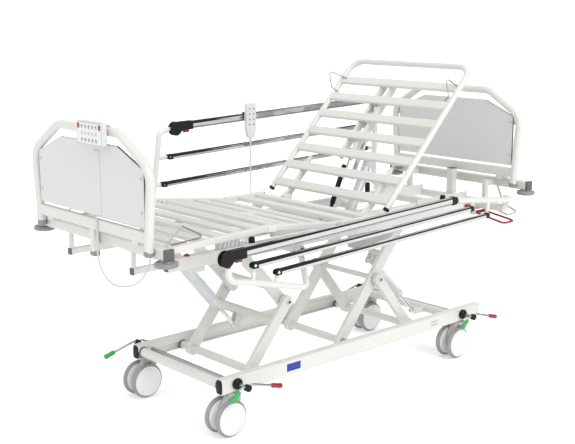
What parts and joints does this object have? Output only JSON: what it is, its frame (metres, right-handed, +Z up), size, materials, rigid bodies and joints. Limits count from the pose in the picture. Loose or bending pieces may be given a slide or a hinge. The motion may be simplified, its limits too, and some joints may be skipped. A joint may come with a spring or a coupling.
{
  "type": "hospital bed",
  "caption": "Electric hospital bed with scissor lift, slatted jointed platform, raised backrest, folding side rails, head and foot boards, hand controls and braked casters.",
  "frame": {"origin": "middle of the overall box at floor height", "axes": "+Z up, +X along the bed toward the head end, +Y toward the far long side, where the rail is raised"},
  "size_m": [2.2228, 0.918, 1.3859],
  "materials": {
    "frame_paint": "satin",
    "caster_body": "satin",
    "wheel": "satin",
    "brake_steel": "satin",
    "cylinder_paint": "satin",
    "chrome_rod": "polished",
    "gas_black": "satin",
    "actuator_plastic": "matte",
    "board_panel": "matte",
    "bumper": "matte",
    "control_white": "satin",
    "handset_grey": "matte",
    "red_paint": "gloss",
    "rail_white": "gloss",
    "rail_alu": "satin",
    "grip_black": "matte",
    "trigger_red": "gloss",
    "cord": "matte"
  },
  "bodies": {
    "base_frame": {"base_frame": "frame_paint"},
    "caster_fork_foot_near": {"caster_fork_foot_near": "caster_body"},
    "caster_wheels_foot_near": {"caster_wheels_foot_near": "wheel"},
    "caster_fork_foot_far": {"caster_fork_foot_far": "caster_body"},
    "caster_wheels_foot_far": {"caster_wheels_foot_far": "wheel"},
    "brake_bar_foot": {"brake_bar_foot": "brake_steel"},
    "caster_fork_head_near": {"caster_fork_head_near": "caster_body"},
    "caster_wheels_head_near": {"caster_wheels_head_near": "wheel"},
    "caster_fork_head_far": {"caster_fork_head_far": "caster_body"},
    "caster_wheels_head_far": {"caster_wheels_head_far": "wheel"},
    "brake_bar_head": {"brake_bar_head": "brake_steel"},
    "head_short_arms": {"head_short_arms": "frame_paint"},
    "head_long_arms": {"head_long_arms": "frame_paint"},
    "foot_lower_arms": {"foot_lower_arms": "frame_paint"},
    "foot_upper_arms": {"foot_upper_arms": "frame_paint"},
    "mid_frame": {"mid_frame": "frame_paint", "control_box": "actuator_plastic", "seat_section": "frame_paint", "head_crossbar": "frame_paint", "handset_cord": "cord"},
    "foot_cylinder": {"foot_cylinder": "cylinder_paint"},
    "foot_cylinder_rod": {"foot_cylinder_rod": "chrome_rod"},
    "head_cylinder": {"head_cylinder": "cylinder_paint"},
    "head_cylinder_rod": {"head_cylinder_rod": "chrome_rod"},
    "backrest": {"backrest": "frame_paint"},
    "back_actuator": {"back_actuator": "cylinder_paint"},
    "back_actuator_rod": {"back_actuator_rod": "chrome_rod"},
    "gas_spring": {"gas_spring": "gas_black"},
    "gas_spring_rod": {"gas_spring_rod": "chrome_rod"},
    "thigh_section": {"thigh_section": "frame_paint"},
    "calf_section": {"calf_section": "frame_paint"},
    "thigh_actuator": {"thigh_actuator": "actuator_plastic"},
    "thigh_actuator_rod": {"thigh_actuator_rod": "chrome_rod"},
    "foot_crossbar": {"foot_crossbar": "frame_paint", "panel_cord": "cord"},
    "foot_bumper_near": {"foot_bumper_near": "bumper"},
    "foot_bumper_far": {"foot_bumper_far": "bumper"},
    "head_bumper_near": {"head_bumper_near": "bumper"},
    "head_bumper_far": {"head_bumper_far": "bumper"},
    "footboard": {"footboard_frame": "frame_paint", "footboard_panel": "board_panel", "control_panel": "control_white"},
    "headboard": {"headboard_frame": "frame_paint", "headboard_panel": "board_panel"},
    "rail_foot_arm_near": {"rail_foot_arm_near": "rail_white"},
    "rail_head_arm_near": {"rail_head_arm_near": "rail_white"},
    "rail_top_bar_near": {"rail_top_bar_near": "rail_alu", "rail_grip_near": "grip_black"},
    "rail_mid_bar_near": {"rail_mid_bar_near": "rail_alu"},
    "rail_low_bar_near": {"rail_low_bar_near": "rail_alu"},
    "rail_trigger_near": {"rail_trigger_near": "trigger_red"},
    "rail_foot_arm_far": {"rail_foot_arm_far": "rail_white"},
    "rail_head_arm_far": {"rail_head_arm_far": "rail_white"},
    "rail_top_bar_far": {"rail_top_bar_far": "rail_alu", "rail_grip_far": "grip_black"},
    "rail_mid_bar_far": {"rail_mid_bar_far": "rail_alu"},
    "rail_low_bar_far": {"rail_low_bar_far": "rail_alu"},
    "rail_trigger_far": {"rail_trigger_far": "trigger_red"},
    "handset": {"handset": "handset_grey"},
    "cpr_lever": {"cpr_lever": "red_paint"}
  },
  "joints": [
    {"name": "caster_swivel_foot_near", "type": "hinge", "parent": "base_frame", "child": "caster_fork_foot_near", "pos_m": [-0.63, -0.2835, 0.17], "axis": [0, 0, 1], "continuous": true},
    {"name": "caster_spin_foot_near", "type": "hinge", "parent": "caster_fork_foot_near", "child": "caster_wheels_foot_near", "pos_m": [-0.67, -0.2835, 0.075], "axis": [0, 1, 0], "continuous": true},
    {"name": "caster_swivel_foot_far", "type": "hinge", "parent": "base_frame", "child": "caster_fork_foot_far", "pos_m": [-0.63, 0.2835, 0.17], "axis": [0, 0, 1], "continuous": true},
    {"name": "caster_spin_foot_far", "type": "hinge", "parent": "caster_fork_foot_far", "child": "caster_wheels_foot_far", "pos_m": [-0.67, 0.2835, 0.075], "axis": [0, 1, 0], "continuous": true},
    {"name": "brake_pedal_foot", "type": "hinge", "parent": "base_frame", "child": "brake_bar_foot", "pos_m": [-0.63, 0, 0.205], "axis": [0, 1, 0], "range_deg": [-15, 15]},
    {"name": "caster_swivel_head_near", "type": "hinge", "parent": "base_frame", "child": "caster_fork_head_near", "pos_m": [0.757, -0.2835, 0.17], "axis": [0, 0, 1], "continuous": true},
    {"name": "caster_spin_head_near", "type": "hinge", "parent": "caster_fork_head_near", "child": "caster_wheels_head_near", "pos_m": [0.717, -0.2835, 0.075], "axis": [0, 1, 0], "continuous": true},
    {"name": "caster_swivel_head_far", "type": "hinge", "parent": "base_frame", "child": "caster_fork_head_far", "pos_m": [0.757, 0.2835, 0.17], "axis": [0, 0, 1], "continuous": true},
    {"name": "caster_spin_head_far", "type": "hinge", "parent": "caster_fork_head_far", "child": "caster_wheels_head_far", "pos_m": [0.717, 0.2835, 0.075], "axis": [0, 1, 0], "continuous": true},
    {"name": "brake_pedal_head", "type": "hinge", "parent": "base_frame", "child": "brake_bar_head", "pos_m": [0.757, 0, 0.205], "axis": [0, 1, 0], "range_deg": [-15, 15]},
    {"name": "lift", "type": "hinge", "parent": "base_frame", "child": "head_short_arms", "pos_m": [0.482, 0, 0.19], "axis": [0, 1, 0], "range_deg": [-32, 3]},
    {"name": "lift_middle_pivot", "type": "hinge", "parent": "head_short_arms", "child": "head_long_arms", "pos_m": [0.28, 0, 0.442], "axis": [0, 1, 0], "range_deg": [-6, 64]},
    {"name": "lift_top_pivot", "type": "hinge", "parent": "head_long_arms", "child": "mid_frame", "pos_m": [0.482, 0, 0.694], "axis": [0, 1, 0], "range_deg": [-32, 3]},
    {"name": "foot_leg_pivot", "type": "hinge", "parent": "base_frame", "child": "foot_lower_arms", "pos_m": [-0.47, 0, 0.19], "axis": [0, 1, 0], "range_deg": [-3, 32]},
    {"name": "foot_knee_pivot", "type": "hinge", "parent": "foot_lower_arms", "child": "foot_upper_arms", "pos_m": [-0.268, 0, 0.442], "axis": [0, 1, 0], "range_deg": [-64, 6]},
    {"name": "foot_cylinder_pin", "type": "hinge", "parent": "mid_frame", "child": "foot_cylinder", "pos_m": [-0.68, 0.045, 0.68], "axis": [0, 1, 0], "range_deg": [-22.92, 2.16]},
    {"name": "foot_cylinder_rod_pin", "type": "hinge", "parent": "foot_lower_arms", "child": "foot_cylinder_rod", "pos_m": [-0.352, 0.045, 0.302], "axis": [0, 1, 0], "range_deg": [-54.92, 5.16]},
    {"name": "head_cylinder_pin", "type": "hinge", "parent": "head_long_arms", "child": "head_cylinder", "pos_m": [0.33, -0.1, 0.5], "axis": [0, 1, 0], "range_deg": [-58.41, 5.49]},
    {"name": "head_cylinder_rod_pin", "type": "hinge", "parent": "base_frame", "child": "head_cylinder_rod", "pos_m": [0.64, -0.1, 0.201], "axis": [0, 1, 0], "range_deg": [-26.41, 2.48]},
    {"name": "backrest_hinge", "type": "hinge", "parent": "mid_frame", "child": "backrest", "pos_m": [0.12, 0, 0.765], "axis": [0, -1, 0], "range_deg": [-46.3, 18.7]},
    {"name": "back_actuator_pin", "type": "hinge", "parent": "mid_frame", "child": "back_actuator", "pos_m": [0.26, 0, 0.64], "axis": [0, -1, 0], "range_deg": [-46.22, 18.67]},
    {"name": "back_actuator_rod_pin", "type": "hinge", "parent": "backrest", "child": "back_actuator_rod", "pos_m": [0.53932, 0.064, 1.17306], "axis": [0, -1, 0], "range_deg": [-0.047, 0.103]},
    {"name": "gas_spring_pin", "type": "hinge", "parent": "mid_frame", "child": "gas_spring", "pos_m": [0.3, 0.131, 0.705], "axis": [0, -1, 0], "range_deg": [-53.67, 21.68]},
    {"name": "gas_spring_rod_pin", "type": "hinge", "parent": "backrest", "child": "gas_spring_rod", "pos_m": [0.49096, 0.112, 1.12245], "axis": [0, -1, 0], "range_deg": [-7.37, 2.98]},
    {"name": "thigh_hinge", "type": "hinge", "parent": "mid_frame", "child": "thigh_section", "pos_m": [-0.153, 0, 0.7765], "axis": [0, 1, 0], "range_deg": [-6.3, 28]},
    {"name": "calf_hinge", "type": "hinge", "parent": "thigh_section", "child": "calf_section", "pos_m": [-0.509, 0, 0.8165], "axis": [0, 1, 0], "range_deg": [-28, 6.3]},
    {"name": "thigh_actuator_pin", "type": "hinge", "parent": "mid_frame", "child": "thigh_actuator", "pos_m": [0.05, -0.04, 0.7], "axis": [0, 1, 0], "range_deg": [-3.19, 14.15]},
    {"name": "thigh_actuator_rod_pin", "type": "hinge", "parent": "thigh_section", "child": "thigh_actuator_rod", "pos_m": [-0.36, -0.04, 0.7], "axis": [0, 1, 0], "range_deg": [-13.87, 3.13]},
    {"name": "foot_extension", "type": "slide", "parent": "mid_frame", "child": "foot_crossbar", "axis": [-1, 0, 0], "range_m": [0, 0.2]},
    {"name": "foot_bumper_spin_near", "type": "hinge", "parent": "foot_crossbar", "child": "foot_bumper_near", "pos_m": [-1.0284, -0.416, 0.784], "axis": [0, 0, 1], "continuous": true},
    {"name": "foot_bumper_spin_far", "type": "hinge", "parent": "foot_crossbar", "child": "foot_bumper_far", "pos_m": [-1.0284, 0.416, 0.784], "axis": [0, 0, 1], "continuous": true},
    {"name": "head_bumper_spin_near", "type": "hinge", "parent": "mid_frame", "child": "head_bumper_near", "pos_m": [1.0684, -0.416, 0.784], "axis": [0, 0, 1], "continuous": true},
    {"name": "head_bumper_spin_far", "type": "hinge", "parent": "mid_frame", "child": "head_bumper_far", "pos_m": [1.0684, 0.416, 0.784], "axis": [0, 0, 1], "continuous": true},
    {"name": "footboard_lift_off", "type": "slide", "parent": "foot_crossbar", "child": "footboard", "axis": [0, 0, 1], "range_m": [0, 0.25]},
    {"name": "headboard_lift_off", "type": "slide", "parent": "mid_frame", "child": "headboard", "axis": [0, 0, 1], "range_m": [0, 0.25]},
    {"name": "side_rail_near", "type": "hinge", "parent": "mid_frame", "child": "rail_foot_arm_near", "pos_m": [-0.365, -0.379, 0.712], "axis": [0, 1, 0], "range_deg": [0, 85]},
    {"name": "rail_head_pivot_near", "type": "hinge", "parent": "mid_frame", "child": "rail_head_arm_near", "pos_m": [0.915, -0.432, 0.757], "axis": [0, 1, 0], "range_deg": [0, 85]},
    {"name": "rail_top_pivot_near", "type": "hinge", "parent": "rail_foot_arm_near", "child": "rail_top_bar_near", "pos_m": [-0.77257, -0.432, 0.7577], "axis": [0, 1, 0], "range_deg": [-85, 0]},
    {"name": "rail_mid_pivot_near", "type": "hinge", "parent": "rail_foot_arm_near", "child": "rail_mid_bar_near", "pos_m": [-0.64668, -0.432, 0.70502], "axis": [0, 1, 0], "range_deg": [-85, 0]},
    {"name": "rail_low_pivot_near", "type": "hinge", "parent": "rail_foot_arm_near", "child": "rail_low_bar_near", "pos_m": [-0.53123, -0.432, 0.65929], "axis": [0, 1, 0], "range_deg": [-85, 0]},
    {"name": "rail_trigger_push_near", "type": "slide", "parent": "rail_top_bar_near", "child": "rail_trigger_near", "axis": [-0.0351, 0, 0.9994], "range_m": [0, 0.006], "stiffness_N_per_m": 400, "springref_m": -0.003},
    {"name": "side_rail_far", "type": "hinge", "parent": "mid_frame", "child": "rail_foot_arm_far", "pos_m": [-0.365, 0.379, 0.712], "axis": [0, 1, 0], "range_deg": [-85, 0]},
    {"name": "rail_head_pivot_far", "type": "hinge", "parent": "mid_frame", "child": "rail_head_arm_far", "pos_m": [0.915, 0.432, 0.757], "axis": [0, 1, 0], "range_deg": [-85, 0]},
    {"name": "rail_top_pivot_far", "type": "hinge", "parent": "rail_foot_arm_far", "child": "rail_top_bar_far", "pos_m": [-0.355, 0.432, 1.122], "axis": [0, 1, 0], "range_deg": [0, 85]},
    {"name": "rail_mid_pivot_far", "type": "hinge", "parent": "rail_foot_arm_far", "child": "rail_mid_bar_far", "pos_m": [-0.3965, 0.432, 0.992], "axis": [0, 1, 0], "range_deg": [0, 85]},
    {"name": "rail_low_pivot_far", "type": "hinge", "parent": "rail_foot_arm_far", "child": "rail_low_bar_far", "pos_m": [-0.432, 0.432, 0.873], "axis": [0, 1, 0], "range_deg": [0, 85]},
    {"name": "rail_trigger_push_far", "type": "slide", "parent": "rail_top_bar_far", "child": "rail_trigger_far", "axis": [-0.0351, 0, 0.9994], "range_m": [0, 0.006], "stiffness_N_per_m": 400, "springref_m": -0.003},
    {"name": "handset_lift_off", "type": "slide", "parent": "rail_top_bar_far", "child": "handset", "axis": [0, 0, 1], "range_m": [0, 0.08]},
    {"name": "cpr_lever_press", "type": "hinge", "parent": "mid_frame", "child": "cpr_lever", "pos_m": [0.912, -0.269, 0.677], "axis": [1, 0, 0], "range_deg": [0, 20], "stiffness_Nm_per_rad": 6, "springref_deg": -8.59}
  ],
  "couplings": [
    {"joint": "lift_middle_pivot", "follows": "lift", "ratio": -2},
    {"joint": "lift_top_pivot", "follows": "lift", "ratio": 1},
    {"joint": "foot_leg_pivot", "follows": "lift", "ratio": -1},
    {"joint": "foot_knee_pivot", "follows": "lift", "ratio": 2},
    {"joint": "foot_cylinder_pin", "follows": "lift", "ratio": 0.716},
    {"joint": "foot_cylinder_rod_pin", "follows": "lift", "ratio": 1.716},
    {"joint": "head_cylinder_pin", "follows": "lift", "ratio": 1.825},
    {"joint": "head_cylinder_rod_pin", "follows": "lift", "ratio": 0.825},
    {"joint": "back_actuator_pin", "follows": "backrest_hinge", "ratio": 0.998},
    {"joint": "back_actuator_rod_pin", "follows": "backrest_hinge", "ratio": -0.002},
    {"joint": "gas_spring_pin", "follows": "backrest_hinge", "ratio": 1.159},
    {"joint": "gas_spring_rod_pin", "follows": "backrest_hinge", "ratio": 0.159},
    {"joint": "calf_hinge", "follows": "thigh_hinge", "ratio": -1},
    {"joint": "thigh_actuator_pin", "follows": "thigh_hinge", "ratio": 0.505},
    {"joint": "thigh_actuator_rod_pin", "follows": "thigh_hinge", "ratio": -0.495},
    {"joint": "rail_head_pivot_near", "follows": "side_rail_near", "ratio": 1},
    {"joint": "rail_top_pivot_near", "follows": "side_rail_near", "ratio": -1},
    {"joint": "rail_mid_pivot_near", "follows": "side_rail_near", "ratio": -1},
    {"joint": "rail_low_pivot_near", "follows": "side_rail_near", "ratio": -1},
    {"joint": "rail_head_pivot_far", "follows": "side_rail_far", "ratio": 1},
    {"joint": "rail_top_pivot_far", "follows": "side_rail_far", "ratio": -1},
    {"joint": "rail_mid_pivot_far", "follows": "side_rail_far", "ratio": -1},
    {"joint": "rail_low_pivot_far", "follows": "side_rail_far", "ratio": -1}
  ]
}
